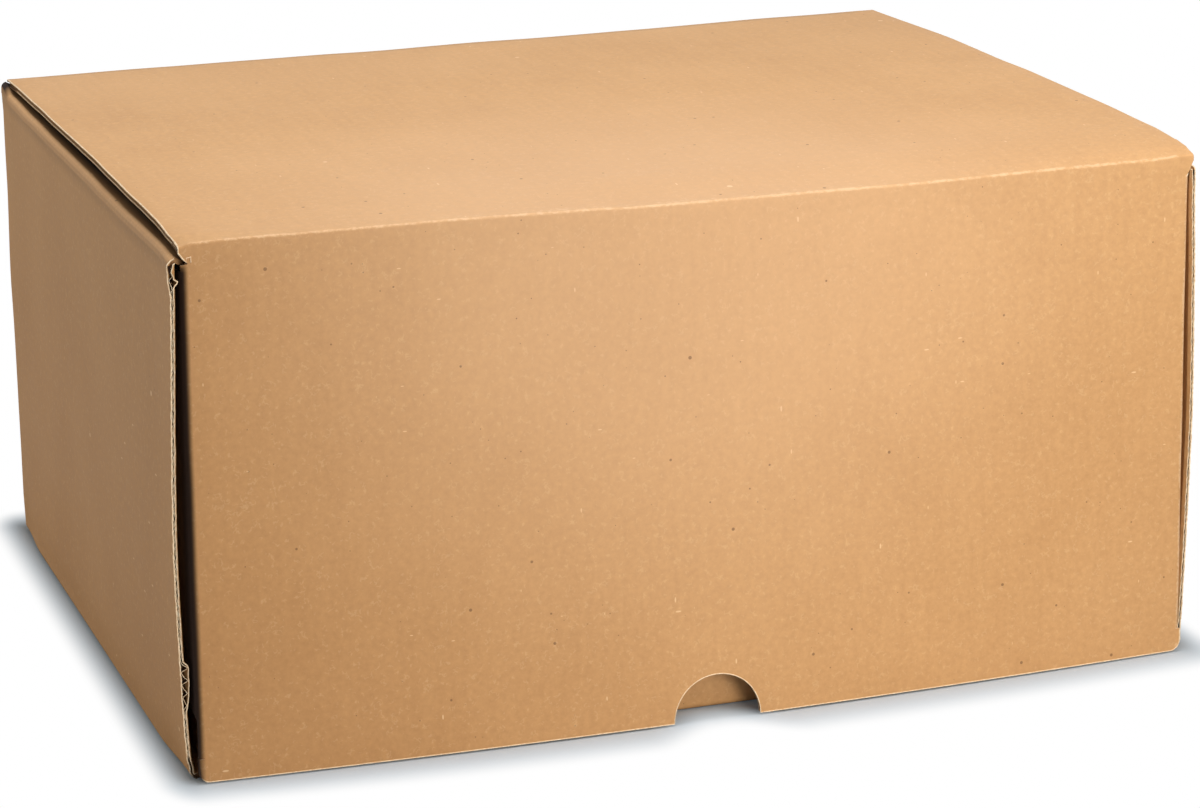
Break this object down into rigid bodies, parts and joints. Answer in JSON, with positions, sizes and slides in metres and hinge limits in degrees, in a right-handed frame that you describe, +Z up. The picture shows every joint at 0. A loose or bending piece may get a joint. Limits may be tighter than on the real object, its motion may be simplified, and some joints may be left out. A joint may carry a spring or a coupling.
{
  "type": "cardboard mailing box",
  "caption": "Closed corrugated cardboard box with roll-over side walls, a creased lid and a full-height front flap with tucked ears and a half-round thumb notch.",
  "frame": {"origin": "centre of the bottom panel's underside, on the floor, half way between the back wall's face and the front crease", "axes": "+X along the crease to the box's right, +Y towards the back wall, +Z up"},
  "size_m": [0.408, 0.3289, 0.2042],
  "materials": {
    "kraft_board": "uncoated brown kraft paper over open flutes"
  },
  "bodies": {
    "box": {"folded_box": "kraft_board"},
    "flap": {"front_flap": "kraft_board"}
  },
  "joints": [
    {"name": "flap_crease", "type": "hinge", "parent": "box", "child": "flap", "pos_m": [0, -0.1574, 0.2019], "axis": [-1, 0, 0], "range_deg": [-1.1, 90]}
  ]
}
